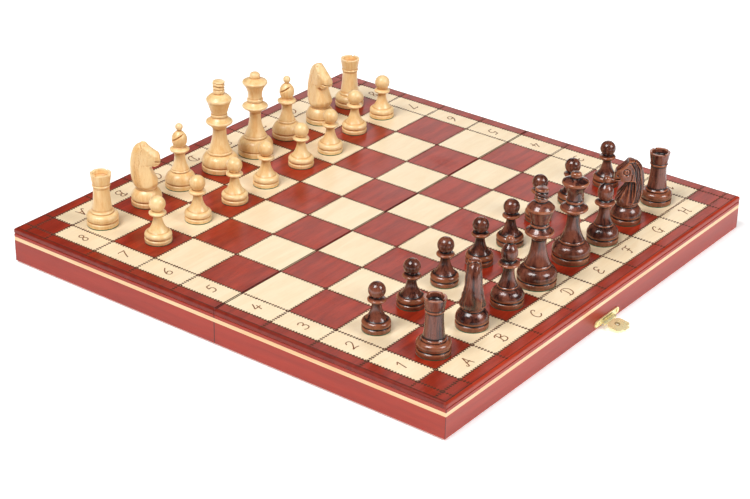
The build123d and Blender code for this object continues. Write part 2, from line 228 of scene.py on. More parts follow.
def use_group(group, inputs):
    """The outputs of a group, fed with these inputs."""
    made = add(tree_of(inputs["Place"]), "ShaderNodeGroup", node_tree=group)
    for key, value in inputs.items():
        wire(value, made.inputs[key])
    return made.outputs


def grain_of(place, stretch, light, dark, contrast, pores):
    """Colour of the wood and height of its grain."""
    got = use_group(GRAIN, {"Place": place, "Stretch": stretch, "Light": light, "Dark": dark,
                            "Contrast": contrast, "Pores": pores})
    return got["Color"], Number(got["Height"])


def varnish_of(place, roughness, change, size):
    """Roughness of the varnish, its rub marks and its ripple."""
    got = use_group(VARNISH, {"Place": place, "Roughness": roughness, "Change": change, "Size": size})
    return [Number(got[key]) for key in ("Roughness", "Rubbed", "Ripple")]


def paint(material, looks, height=None, distance=0.0):
    """Wires or fills the sockets of the shader, and gives it a bump of this height."""
    tree = material.node_tree
    shader = next(n for n in tree.nodes if n.type == "BSDF_PRINCIPLED")
    for key, value in looks.items():
        wire(value, shader.inputs[key])
    if height:
        wire(get(tree, "ShaderNodeBump", {"Height": height, "Distance": distance}), shader.inputs["Normal"])
    return material


def xyz(place):
    return [Number(o) for o in add(tree_of(place), "ShaderNodeSeparateXYZ", {0: place}).outputs]


def dress(names, material):
    for name in names:
        data = node_of[name].data
        data.materials.clear()
        data.materials.append(material)


ALONG_X, ALONG_Y, VENEER_GRAIN = (40, 480, 480), (480, 40, 480), (110, 900, 900)
INLAY_GRAIN, MEN_GRAIN = (60, 60, 700), (900, 900, 150)

# %% [markdown]
# The walls are beech stained red-brown and varnished. The grain follows the length
# of each wall, so walls along x and walls along y need the same finish with the
# stretch turned. Inside the tray the wood is left pale, by a mask on x and y.

# %% Stained wood of the walls
def make_wall_wood(name, stretch):
    material, place = new_material(name)
    x, y, z = xyz(place)
    stained, relief = grain_of(place, stretch, rgb(179, 51, 27), rgb(142, 34, 18), 0.7, 0.0)
    bare, _ = grain_of(place, stretch, rgb(232, 200, 150), rgb(205, 160, 105), 0.8, 0.25)
    gloss, _, ripple = varnish_of(place, 0.31, 0.0, 30.0)
    ax, ay = abs(x), abs(y)
    inside = (ax < TRAY) * (ay < TRAY) * (ay > FOLD) * (z < PANEL_LOW)
    # the arrises take more stain, and a little of it is rubbed off again; the lighter line along the bottom
    # arris is partly that wear and partly a painted highlight of the rounded edge
    arris_wear_and_sheen = (ax.do("MAXIMUM", ay) - (HALF - 0.5 * MM)).ramp(0, 0.5 * MM) * z.ramp(0.6 * MM, 0.1 * MM)
    stained = mix(arris_wear_and_sheen * 0.5, stained, rgb(205, 110, 76))
    # the joint between the halves and the mitres at the corners are dark lines
    joint = (ax > HALF - 0.2 * MM) * ay.ramp(FOLD, 0.2 * MM)
    mitre = ax.do("MINIMUM", ay).ramp(HALF - 0.5 * MM, HALF - 0.25 * MM) * 0.7
    stained = mix(joint.do("MAXIMUM", mitre), stained, rgb(52, 18, 14))
    return paint(material, {"Base Color": mix(inside, stained, bare), "Roughness": gloss + inside * 0.35,
                            "Specular IOR Level": 0.42, "Coat Weight": inside.ramp(0, 1, 0.05, 0.0),
                            "Coat Roughness": 0.12}, relief + ripple * 0.8, 0.08 * MM)


WALL_X = make_wall_wood("stained_wall_across", ALONG_X)
WALL_Y = make_wall_wood("stained_wall_side", ALONG_Y)
dress([n for n in node_of if n.endswith(("wall_end", "wall_crease"))], WALL_X)
dress([n for n in node_of if n.endswith(("wall_a", "wall_h"))], WALL_Y)
print("walls:", sum("_wall_" in n for n in node_of))

# %% [markdown]
# The playing face is one sheet of pale veneer with its grain along the fold. The red
# squares and the border are stained over it, so the grain runs through both colours.
# The squares aren't separate pieces, so arithmetic on x and y draws them: count
# squares both ways, and odd sums are pale.

# %% Veneer of the playing panel
VENEER, place = new_material("stained_veneer")
x, y, z = xyz(place)
ax, ay = abs(x), abs(y)
far, near = ax.do("MAXIMUM", ay), ax.do("MINIMUM", ay)
files, ranks = x / SQUARE, y / SQUARE
odd = abs(files.do("FLOOR") + ranks.do("FLOOR")).do("MODULO", 2.0) > 0.5
pale_strip = (far > FIELD) * (far < STRIP) * (near < FIELD)
pale = (odd * (far < FIELD) + pale_strip) * (z > TOP - 0.3 * MM)
red, relief = grain_of(place, VENEER_GRAIN, rgb(178, 54, 28), rgb(126, 33, 17), 0.95, 0.5)
cream, _ = grain_of(place, VENEER_GRAIN, rgb(249, 229, 195), rgb(239, 211, 170), 0.7, 0.08)
# heat browns the veneer beside every burnt line
across, along = abs(files.do("FRACT") - 0.5), abs(ranks.do("FRACT") - 0.5)
by_line = across.do("MAXIMUM", along).ramp(0.472, 0.5) * (far < FIELD)
by_strip = (-abs(far - STRIP)).ramp(-1.1 * MM, 0)
cream = mix(by_line.do("MAXIMUM", by_strip) * 0.55, cream, rgb(206, 150, 92))
gloss, _, ripple = varnish_of(place, 0.33, 0.09, 38.0)
# the A side took more stain, and its rounded edge is darker still, which is painted shade; the rounded edge
# of the rank 1 side is lighter, which is a painted highlight
edge = -HALF + 2.0 * MM
red = mix((x < -FIELD) * 0.2 + (x < edge) * 0.35, red, rgb(96, 22, 14))
red = mix((y < edge) * 0.22, red, rgb(200, 66, 36))
# a fine dark line where the rounding starts, stronger on the A side
seam = abs(far - RIM).ramp(0.5 * MM, 0.2 * MM) * ((x < -FIELD) * 0.5 + 0.3)
red = mix(seam, red, rgb(44, 14, 18))
paint(VENEER, {"Base Color": mix(pale, red, cream), "Roughness": gloss, "Specular IOR Level": 0.3,
               "Coat Weight": 0.06, "Coat Roughness": 0.16}, relief * 0.7 + ripple * 0.6, 0.05 * MM)
dress(["half1_panel", "half5_panel"], VENEER)
print("panel veneer:", len(VENEER.node_tree.nodes), "nodes")

# %% Pale inlay, lining board, steel and brass
INLAY, place = new_material("pale_inlay")
tint, relief = grain_of(place, INLAY_GRAIN, rgb(252, 214, 166), rgb(236, 178, 116), 0.8, 0.12)
gloss, _, _ = varnish_of(place, 0.3, 0.08, 60.0)
paint(INLAY, {"Base Color": tint, "Roughness": gloss, "Coat Weight": 0.5, "Coat Roughness": 0.15},
      relief, 0.04 * MM)

LINING, place = new_material("lining_board")
fibres, clouds = noise(place, 900.0, 6.0, 0.7), noise(place, 30.0, 3.0)
tint = mix(fibres.ramp(0.3, 0.7), rgb(122, 88, 58), rgb(160, 122, 84))
tint = mix(clouds.ramp(0.3, 0.7) * 0.4, tint, rgb(138, 98, 64))
paint(LINING, {"Base Color": tint, "Roughness": fibres.ramp(0.2, 0.8, 0.62, 0.8)}, fibres, 0.08 * MM)


def make_metal(name, tint, dull, roughness, metallic, shade_mask=None):
    material, place = new_material(name)
    gloss, rubbed, ripple = varnish_of(place, roughness, 0.10, 260.0)
    tint = mix(rubbed, tint, dull)
    # a mask of painted shade darkens the metal where it lies in shadow
    if shade_mask:
        tint = mix(shade_mask(place), tint, rgb(96, 62, 22))
    return paint(material, {"Base Color": tint, "Roughness": gloss, "Metallic": metallic}, ripple, 0.03 * MM)


def latch_dirt(place):
    """Painted shade round the hole of the tab, and along the pressed slot of the plate, where they lie in
    shadow.
    """
    x, y, z = xyz(place)
    across, out = x - LATCH_X, y + HALF + HOLE_OUT
    hole = (across * across + out * out).do("SQRT").ramp(2.1 * MM, 1.6 * MM)
    slot = abs(z - SLOT_UP).ramp(0.75 * MM, 0.45 * MM)
    slot = slot * (abs(across) < 6.0 * MM) * (y > -HALF - 1.0 * MM)
    return hole.do("MAXIMUM", slot) * 0.8


LATCH_X, HOLE_OUT, SLOT_UP = 0.8 * MM, 8.4 * MM, 4.9 * MM
BRASS = make_metal("polished_brass", rgb(255, 240, 172), rgb(240, 208, 124), 0.3, 0.35)
LATCH_BRASS = make_metal("latch_brass", rgb(255, 244, 190), rgb(244, 208, 120), 0.26, 0.45, latch_dirt)
STEEL = make_metal("plain_steel", rgb(190, 192, 196), rgb(140, 140, 142), 0.32, 1.0)
dress(["half1_inlay", "half5_inlay"], INLAY)
dress(["half1_lining", "half5_lining"], LINING)
dress([n for n in node_of if n.startswith(("hinge_leaves", "hinge_screws", "catch_", "latch_"))], BRASS)
dress(["half1_steel", "half5_steel", "hinge_pins", "latch_pin"], STEEL)
dress(["latch_plate", "latch_tab"], LATCH_BRASS)
print("metals:", BRASS.name, STEEL.name, LATCH_BRASS.name)

# %% [markdown]
# The borders of the squares are burnt into the veneer as dark lines with small teeth,
# like the mark of a pinking wheel. That is one shape repeated along a path, which is
# work for Geometry Nodes. One tree lays a flat stroke along a path, and another sets
# a tooth at every step of it. The marks stand a few hundredths of a millimetre above
# the face, so they stay crisp when close.

# %% Helpers for geometry trees
FINISH = "NodeSocketMaterial"


def geo(tree, kind, inputs=None, **settings):
    return get(tree, "GeometryNode" + kind, inputs, **settings)


def new_geometry_group(name, inputs):
    """A tree from one geometry to another, with these inputs besides."""
    shape = {"Geometry": "NodeSocketGeometry"}
    return new_group(name, shape | inputs, shape, "GeometryNodeTree")


def linked(name, data):
    made = bpy.data.objects.new(name, data)
    bpy.context.scene.collection.objects.link(made)
    return made


def new_mesh(name, points, edges=(), faces=()):
    mesh = bpy.data.meshes.new(name)
    mesh.from_pydata(points, edges, faces)
    return mesh


def grown(name, group, source, **values):
    """The plain mesh that a geometry tree makes from a source mesh."""
    carrier = linked(name, source)
    modifier = carrier.modifiers.new("tree", "NODES")
    modifier.node_group = group
    identifier = {s.name: s.identifier for s in group.interface.items_tree if s.in_out == "INPUT"}
    for key, value in values.items():
        modifier[identifier[key]] = value
    graph = bpy.context.evaluated_depsgraph_get()
    mesh = bpy.data.meshes.new_from_object(carrier.evaluated_get(graph), preserve_all_data_layers=True,
                                           depsgraph=graph)
    carrier.modifiers.clear()
    bpy.data.objects.remove(carrier)
    mesh.name = name
    # an instance's empty material slot comes along, so only the slots in use are kept
    finishes = [m for m in mesh.materials if m]
    order = [finishes.index(m) if m else 0 for m in mesh.materials]
    used = [order[p.material_index] for p in mesh.polygons]
    mesh.materials.clear()
    for finish in finishes:
        mesh.materials.append(finish)
    mesh.polygons.foreach_set("material_index", used)
    return mesh


def close_up(mesh, merge=0.002 * MM):
    """Merges double points and turns every face outwards."""
    work = bmesh.new()
    work.from_mesh(mesh)
    bmesh.ops.remove_doubles(work, verts=work.verts, dist=merge)
    bmesh.ops.recalc_face_normals(work, faces=work.faces)
    work.to_mesh(mesh)
    work.free()
    return mesh


def new_piece(name, mesh, body):
    piece = linked(name, mesh)
    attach(piece, body)
    return piece


def paths_mesh(paths):
    """Each path is a list of points in metres, joined by edges."""
    points, edges = [], []
    for path in paths:
        edges += [(len(points) + i, len(points) + i + 1) for i in range(len(path) - 1)]
        points += path
    return new_mesh("path", points, edges)


def hand_over(tree, given, result, geometry, scale=(1, 1, 1)):
    """Sets marks at their level, realizes them and gives them their material."""
    level = get(tree, "ShaderNodeCombineXYZ", {"Z": given["Level"]})
    placed = geo(tree, "Transform", {"Geometry": geometry, "Translation": level, "Scale": scale})
    real = geo(tree, "RealizeInstances", {"Geometry": placed})
    wire(geo(tree, "SetMaterial", {"Geometry": real, "Material": given["Finish"]}), result[0])
    return tree

# %% Tree that lays a flat stroke along a path
def make_stroke_tree():
    tree, given, result = new_geometry_group(
        "burnt_stroke", {"Width": 0.4 * MM, "Height": 0.05 * MM, "Step": 0.5 * MM, "Level": 0.0,
                         "Finish": FINISH})
    curve = geo(tree, "MeshToCurve", {"Mesh": given["Geometry"]})
    smooth = geo(tree, "CurveSplineType", {"Curve": curve}, spline_type="CATMULL_ROM")
    even = geo(tree, "ResampleCurve", {"Curve": smooth, "Length": given["Step"]}, mode="LENGTH")
    ring = geo(tree, "CurvePrimitiveCircle", {"Resolution": 6, "Radius": Number(given["Width"]) * 0.5})
    tube = geo(tree, "CurveToMesh", {"Curve": even, "Profile Curve": ring, "Fill Caps": True})
    flat = Number(given["Height"]) / given["Width"]
    return hand_over(tree, given, result, tube,
                     get(tree, "ShaderNodeCombineXYZ", {"X": 1.0, "Y": 1.0, "Z": flat}))

# %% Tree that sets a tooth at every step
def make_teeth_tree():
    tree, given, result = new_geometry_group(
        "burnt_teeth", {"Pitch": 2.18 * MM, "Tooth Width": 2.15 * MM, "Tooth Length": 1.15 * MM,
                        "Height": 0.05 * MM, "Uneven": 0.12, "Seed": 3, "Level": 0.0, "Finish": FINISH})
    curve = geo(tree, "MeshToCurve", {"Mesh": given["Geometry"]})
    stations = geo(tree, "ResampleCurve", {"Curve": curve, "Length": given["Pitch"]}, mode="LENGTH")
    turn = get(tree, "FunctionNodeAlignRotationToVector", {"Vector": geo(tree, "InputTangent")}, axis="X")
    # a cone with four sides is a tooth with a square foot
    tooth = geo(tree, "MeshCone",
                {"Vertices": 4, "Radius Top": 0.9, "Radius Bottom": math.sqrt(2), "Depth": 1.0})
    square = geo(tree, "Transform", {"Geometry": tooth, "Rotation": (0, 0, math.pi / 4)})
    # output 1 is the plain number
    luck = Number(add(tree, "FunctionNodeRandomValue",
                      {"Min": 0.0, "Max": 1.0, "Seed": given["Seed"]}).outputs[1])
    size = (luck - 0.5) * given["Uneven"] * 2.0 + 1.0
    scale = get(tree, "ShaderNodeCombineXYZ",
                {"X": size * given["Tooth Length"] * 0.5, "Y": size * given["Tooth Width"] * 0.5,
                 "Z": given["Height"]})
    teeth = geo(tree, "InstanceOnPoints",
                {"Points": stations, "Instance": square, "Rotation": turn, "Scale": scale})
    return hand_over(tree, given, result, teeth)


STROKE_TREE, TEETH_TREE = make_stroke_tree(), make_teeth_tree()
print("trees:", STROKE_TREE.name, TEETH_TREE.name)

# %% Scorched wood, and painted shade at the fold
def make_burn(name, dark, light, grains):
    material, place = new_material(name)
    soot = noise(place, grains, 3.0)
    return paint(material, {"Base Color": mix(soot.ramp(0.3, 0.7), dark, light),
                            "Roughness": soot.ramp(0.2, 0.8, 0.7, 0.9)}, soot, 0.03 * MM)


SCORCH = make_burn("scorched_line", rgb(54, 25, 14), rgb(96, 52, 28), 700.0)
PEN_BURN = make_burn("burnt_lettering", rgb(100, 50, 18), rgb(146, 86, 36), 500.0)
# FOLD_SHADE is no burn but painted shade: a near-black strip beside the fold, where the edges of the halves
# dip into shadow
FOLD_SHADE = make_burn("painted_fold_shade", rgb(14, 6, 5), rgb(34, 14, 10), 600.0)
print("burns:", SCORCH.name, PEN_BURN.name, FOLD_SHADE.name)

# %% [markdown]
# Each half has its own lines, because the halves fold apart. Lines between the ranks
# run across a half, lines between the files run from the fold to the end, and all of
# them carry on over the strip and the border. The line round the outside has no teeth.

# %% Burnt lines of each half
LINE_Z = TOP - 0.004 * MM
LONG_STEP = 40 * MM       # a straight line needs few points
HALVES = (("half1", -1), ("half5", 1))


def line(x0, y0, x1, y1):
    return [(x0, y0, 0), (x1, y1, 0)]


def half_lines(way):
    """Toothed and plain paths of one half, way -1 for ranks 1 to 4 and 1 for 5 to 8."""
    ranks = [way * k * SQUARE for k in (1, 2, 3, 4)] + [way * STRIP]
    files = [k * SQUARE for k in range(-4, 5)] + [-STRIP, STRIP]
    near, far = way * FOLD, way * RIM
    toothed = [line(-RIM, y, RIM, y) for y in ranks] + [line(x, near, x, far) for x in files]
    plain = [line(-RIM, near, -RIM, far), line(-RIM, far, RIM, far), line(RIM, far, RIM, near)]
    end, beside = HALF - 1.6 * MM, way * 0.65 * MM
    return toothed, plain, [line(-end, beside, end, beside)]


def burn_strokes(name, paths, width, height, step, finish):
    return grown(name, STROKE_TREE, paths_mesh(paths), Width=width * MM, Height=height * MM,
                 Step=step, Level=LINE_Z, Finish=finish)


for body, way in HALVES:
    toothed, plain, crease = half_lines(way)
    teeth = grown("burnt_teeth_" + body, TEETH_TREE, paths_mesh(toothed), Level=LINE_Z, Finish=SCORCH)
    strokes = burn_strokes("burnt_lines_" + body, toothed + plain, 0.42, 0.06, LONG_STEP, SCORCH)
    # a near-black strip beside the fold, painted shade of the notch between the halves
    fold_edge = burn_strokes("fold_line_" + body, crease, 0.75, 0.07, LONG_STEP, FOLD_SHADE)
    for mesh in (teeth, strokes, fold_edge):
        new_piece(mesh.name, close_up(mesh), body)
    print(body, "teeth faces:", len(teeth.polygons), "line faces:", len(strokes.polygons))

# %% [markdown]
# The letters A to H and the numbers 1 to 8 are written with a hot pen: a few quick
# rounded strokes each, leaning a little. A stroke is a handful of points, in
# hundredths of the sign's height, and a slash lifts the pen. The stroke tree above
# turns them into lines of even width.

# %% Letters and numbers
SIGNS = {
    "A": "-5,20 2,2 16,8 50,100 / 50,100 58,50 76,0 / 20,38 70,40",
    "B": "20,98 22,50 12,2 / -5,80 10,100 50,100 60,76 28,55 / 28,55 66,46 66,12 36,0 0,10",
    "C": "62,74 72,90 50,100 22,78 10,40 26,4 55,4 78,24",
    "D": "28,92 30,50 22,5 / -5,76 12,100 50,98 78,62 66,16 34,0 5,10",
    "E": "70,82 50,100 22,86 26,60 50,54 18,42 8,16 30,0 68,14",
    "F": "-2,78 14,97 45,93 78,100 / 45,93 40,50 28,6 8,6 / 16,48 62,54",
    "G": "64,78 70,92 50,100 20,76 10,40 28,4 54,8 66,42 / 44,42 84,46 / 66,42 60,-14",
    "H": "2,80 16,100 20,50 10,0 / 14,50 68,54 / 76,100 68,50 64,4 80,6",
    "1": "18,74 46,100 / 46,100 42,50 38,0",
    "2": "12,76 28,100 58,94 60,66 34,28 6,2 / 6,2 40,8 70,2",
    "3": "14,88 38,100 62,84 52,62 30,55 / 30,55 62,46 64,14 36,0 8,10",
    "4": "42,100 26,66 8,38 / 8,38 74,42 / 54,68 46,0",
    "5": "70,100 30,97 / 30,97 22,58 / 22,58 50,62 64,36 50,6 10,6",
    "6": "58,100 26,68 10,30 24,2 52,4 60,30 42,46 14,34",
    "7": "8,90 14,100 42,96 70,100 / 70,100 46,50 28,0",
    "8": "58,84 40,100 20,84 30,60 56,36 54,8 32,0 12,16 26,44 54,64 58,84",
}
SIGN_HEIGHT = 8.4 * MM
SIGN_MIDDLE = (0.42, 0.5)
LEAN = 0.16


def sign_paths(sign, x, y, turned):
    size = -SIGN_HEIGHT if turned else SIGN_HEIGHT
    paths = []
    for stroke in SIGNS[sign].split(" / "):
        points = [[float(n) / 100 for n in point.split(",")] for point in stroke.split()]
        paths.append([(x + size * (u + LEAN * v - SIGN_MIDDLE[0]), y + size * (v - SIGN_MIDDLE[1]), 0)
                      for u, v in points])
    return paths


for body, way in HALVES:
    paths = []
    for i, letter in enumerate("ABCDEFGH"):
        paths += sign_paths(letter, (i - 3.5) * SQUARE, way * LABEL_AT, way > 0)
    for rank in ((1, 2, 3, 4) if way < 0 else (5, 6, 7, 8)):
        for side in (-1, 1):
            paths += sign_paths(str(rank), side * LABEL_AT, (rank - 4.5) * SQUARE, side > 0)
    mesh = burn_strokes("lettering_" + body, paths, 0.85, 0.07, 0.55 * MM, PEN_BURN)
    new_piece(mesh.name, close_up(mesh), body)
    print(body, "signs:", len(paths), "strokes,", len(mesh.polygons), "faces")

# %% [markdown]
# Chessmen are turned on a lathe: one outline, carried round an axis. The outline is
# written as steps from the foot up, in millimetres, with the values of the solids. It
# is divided finely, its corners are worn a little, and each point keeps how sharply
# the outline bends there: above zero on ridges, where the stain rubs off, and below
# zero in grooves, where it gathers.

# %% Outline of a turned man
OUTLINE_STEP = 0.32       # millimetres between points of an outline
WORN = 0.16               # the same on the worn outline, which rounds its corners
FELT_T, FELT_IN = 0.6, 0.1
SHARP = 0.11              # a bend that counts as a full ridge
GROOVE_SPAN, GROOVE_DEEP = 1.2, 0.25


def unit(value):
    return np.clip(value, 0, 1)


def outline_points(steps, start=(0.0, 0.0)):
    """Fine points of an outline. A step is (r, z), (r, z, bulge) or (r, z, via r, via z)."""
    points, here = [np.array(start)], np.array(start)
    for step in steps:
        end = np.array(step[:2], float)
        chord = end - here
        length = float(np.hypot(*chord))
        if len(step) == 2:
            count = max(2, int(math.ceil(length / OUTLINE_STEP)) + 1)
            points += list(here + np.linspace(0, 1, count)[1:, None] * chord)
        elif len(step) == 3:
            across = np.array((chord[1], -chord[0])) / length
            points += arc_points(here, (here + end) / 2 + across * step[2], end)
        else:
            points += arc_points(here, np.array(step[2:], float), end)
        here = end
    return np.array(points)


def arc_points(first, middle, last):
    """Points after first on the circle through three points."""
    (ax, ay), (bx, by), (cx, cy) = first, middle, last
    d = 2 * (ax * (by - cy) + bx * (cy - ay) + cx * (ay - by))
    a2, b2, c2 = ax * ax + ay * ay, bx * bx + by * by, cx * cx + cy * cy
    centre = np.array(((a2 * (by - cy) + b2 * (cy - ay) + c2 * (ay - by)) / d,
                       (a2 * (cx - bx) + b2 * (ax - cx) + c2 * (bx - ax)) / d))
    radius = float(np.hypot(*(first - centre)))
    angles = [math.atan2(*(p - centre)[::-1]) for p in (first, middle, last)]
    sweep = (angles[2] - angles[0]) % (2 * math.pi)
    if (angles[1] - angles[0]) % (2 * math.pi) > sweep:
        sweep -= 2 * math.pi
    count = max(3, int(abs(sweep) * radius / OUTLINE_STEP) + 1)
    turns = angles[0] + sweep * np.linspace(0, 1, count + 1)[1:]
    return [centre + radius * np.array((math.cos(t), math.sin(t))) for t in turns]


def even_points(points, step):
    """The same line with points an even step apart."""
    run = np.concatenate(([0], np.cumsum(np.hypot(*np.diff(points, axis=0).T))))
    keep = np.concatenate(([True], np.diff(run) > 1e-6))
    points, run = points[keep], run[keep]
    at = np.linspace(0, run[-1], int(run[-1] / step) + 1)
    return np.stack([np.interp(at, run, points[:, i]) for i in (0, 1)], 1)


def worn_outline(points, keep_below=FELT_T + 0.02):
    """Rounds the corners above the felt and measures the bend at each point."""
    points = even_points(points, WORN)
    smooth = points.copy()
    for _ in range(2):
        smooth[1:-1] = smooth[1:-1] * 0.5 + (smooth[:-2] + smooth[2:]) * 0.25
    smooth[points[:, 1] < keep_below] = points[points[:, 1] < keep_below]
    reach = 3
    padded = np.pad(smooth, ((reach, reach), (0, 0)), mode="edge")
    before, after = padded[:-2 * reach], padded[2 * reach:]
    ahead, back = after - smooth, smooth - before
    bend = back[:, 0] * ahead[:, 1] - back[:, 1] * ahead[:, 0]
    bend = np.clip(bend / SHARP, -1, 1)
    near = np.convolve(np.pad(bend, 2, mode="edge"), (0.1, 0.2, 0.4, 0.2, 0.1), "valid")
    wide = 1.5 * np.convolve(np.pad(bend, 6, mode="edge"), np.hanning(15)[1:-1] / 7, "valid")
    bend = np.clip(np.where(abs(wide) > abs(near), wide, near), -1, 1)
    bend[:reach] = bend[-reach:] = 0
    # a narrow groove is dark over its whole width, not only in its corners
    span = int(GROOVE_SPAN / WORN)
    for i in range(span, len(smooth) - span):
        r = smooth[i - span:i + span + 1, 0]
        sunk = min(r[:span].max(), r[span + 1:].max()) - r[span]
        if sunk > 0.08:
            bend[i] = max(-1, min(bend[i], 0) - (sunk - 0.08) / GROOVE_DEEP)
    # flat stretches need fewer points than corners
    chosen = np.abs(bend) > 0.12
    chosen[::2] = True
    chosen[[0, -1]] = True
    return smooth[chosen], bend[chosen]


print("a straight step of 2 mm gives", len(outline_points([(2, 0)])), "points")

# %% Tree that carries an outline round the axis
def make_lathe_tree():
    tree, given, result = new_geometry_group(
        "lathe", {"Segments": 72, "Felt Height": 0.6 * MM, "Wood": FINISH, "Felt": FINISH})
    outline = given["Geometry"]
    rows = geo(tree, "AttributeDomainSize", {"Geometry": outline})
    columns = Number(given["Segments"]) + 1.0
    sheet = geo(tree, "MeshGrid", {"Vertices X": columns, "Vertices Y": rows})
    index = Number(geo(tree, "InputIndex"))
    column = ((index + 0.5) / rows).do("FLOOR")
    row = index - column * rows

    def sampled(value, kind):
        return geo(tree, "SampleIndex", {"Geometry": outline, "Value": value, "Index": row},
                   data_type=kind)

    point = sampled(geo(tree, "InputPosition"), "FLOAT_VECTOR")
    bend = sampled(geo(tree, "InputNamedAttribute", {"Name": "bend"}, data_type="FLOAT"),
                   "FLOAT")
    angle = column / given["Segments"] * (2 * math.pi)
    turned = get(tree, "ShaderNodeVectorRotate", {"Vector": point, "Angle": angle}, rotation_type="Z_AXIS")
    kept = geo(tree, "StoreNamedAttribute", {"Geometry": sheet, "Name": "bend", "Value": bend},
               data_type="FLOAT")
    shaped = geo(tree, "SetPosition", {"Geometry": kept, "Position": turned})
    closed = geo(tree, "MergeByDistance", {"Geometry": shaped, "Distance": 0.01 * MM})
    smooth = geo(tree, "SetShadeSmooth", {"Geometry": closed})
    real = geo(tree, "RealizeInstances", {"Geometry": smooth})
    wood = geo(tree, "SetMaterial", {"Geometry": real, "Material": given["Wood"]})
    height = xyz(geo(tree, "InputPosition"))[2]
    low = height < (Number(given["Felt Height"]) - 0.01 * MM)
    wire(geo(tree, "SetMaterial",
                   {"Geometry": wood, "Selection": low, "Material": given["Felt"]}), result[0])
    return tree


LATHE_TREE = make_lathe_tree()
print("tree:", LATHE_TREE.name)

# %% [markdown]
# The dark men are stained almost black-brown under a glossy varnish, and show warm
# brown wood where ridges are rubbed. The light men are varnished boxwood, with
# honey-coloured grooves. Both finishes read the bend that the outline left on the mesh.

# %% Woods of the men and the felt under them
def make_man_wood(name, light, dark, ridge, groove, contrast, pores, ridge_share, groove_share, gloss,
                  coat, band_share):
    material, place = new_material(name)
    bend = Number(add(material.node_tree, "ShaderNodeAttribute", attribute_name="bend").outputs["Fac"])
    tint, relief = grain_of(place, MEN_GRAIN, light, dark, contrast, pores)
    roughness, _, ripple = varnish_of(place, gloss, 0.09, 150.0)
    patchy = ripple.ramp(0.35, 0.6, 0.45, 1.0)
    rubbed = bend.ramp(0.18, 0.7) * patchy * ridge_share
    gathered = (-bend).ramp(0.1, 0.6) * groove_share
    # the lowest band is made lighter
    low = xyz(place)[2] - TOP
    band = low.ramp(3.7 * MM, 3.0 * MM) * patchy * band_share
    tint = mix(rubbed.do("MAXIMUM", band), tint, ridge)
    return paint(material, {"Base Color": mix(gathered, tint, groove),
                            "Roughness": roughness + gathered * 0.15, "Coat Weight": coat,
                            "Coat Roughness": 0.14}, relief * 0.8 + ripple * 0.5, 0.06 * MM)


FELT, place = new_material("green_felt")
fuzz = noise(place, 2600.0, 5.0, 0.75)
tint = mix(fuzz.ramp(0.3, 0.7), rgb(10, 66, 40), rgb(38, 116, 72))
paint(FELT, {"Base Color": tint, "Roughness": fuzz.ramp(0.2, 0.8, 0.85, 1.0), "Sheen Weight": 0.35},
      fuzz, 0.12 * MM)

DARK_WOOD = make_man_wood(
    "walnut_stained_men", light=rgb(132, 74, 56), dark=rgb(48, 22, 20), ridge=rgb(176, 104, 68),
    groove=rgb(16, 6, 5), contrast=1.7, pores=0.8, ridge_share=0.8, groove_share=0.98, gloss=0.2,
    coat=0.4, band_share=0.55)
LIGHT_WOOD = make_man_wood(
    "boxwood_men", light=rgb(255, 224, 168), dark=rgb(236, 184, 116), ridge=rgb(255, 232, 186),
    groove=rgb(196, 124, 56), contrast=1.1, pores=0.12, ridge_share=0.4, groove_share=0.5, gloss=0.36,
    coat=0.22, band_share=0.0)
print("men:", DARK_WOOD.name, LIGHT_WOOD.name, FELT.name)

# %% [markdown]
# These are the outlines. `foot` is shared: felt, lower band, groove, upper band.
# The rook's outline goes on over its rim and down into the cup.

# %% Outlines of the turned men
def foot(r, groove_z, top_z, groove=0.85):
    return [(r - FELT_IN, 0), (r - FELT_IN, FELT_T), (r - 0.1, FELT_T), (r, FELT_T + 0.35),
            (r, groove_z - groove), (r - groove, groove_z - 0.25), (r - groove, groove_z + 0.25),
            (r - 0.1, groove_z + 0.75), (r, top_z)]


def ball(neck_r, r, z):
    return [(neck_r, z - math.sqrt(r * r - neck_r * neck_r)), (0, z + r, r, z)]


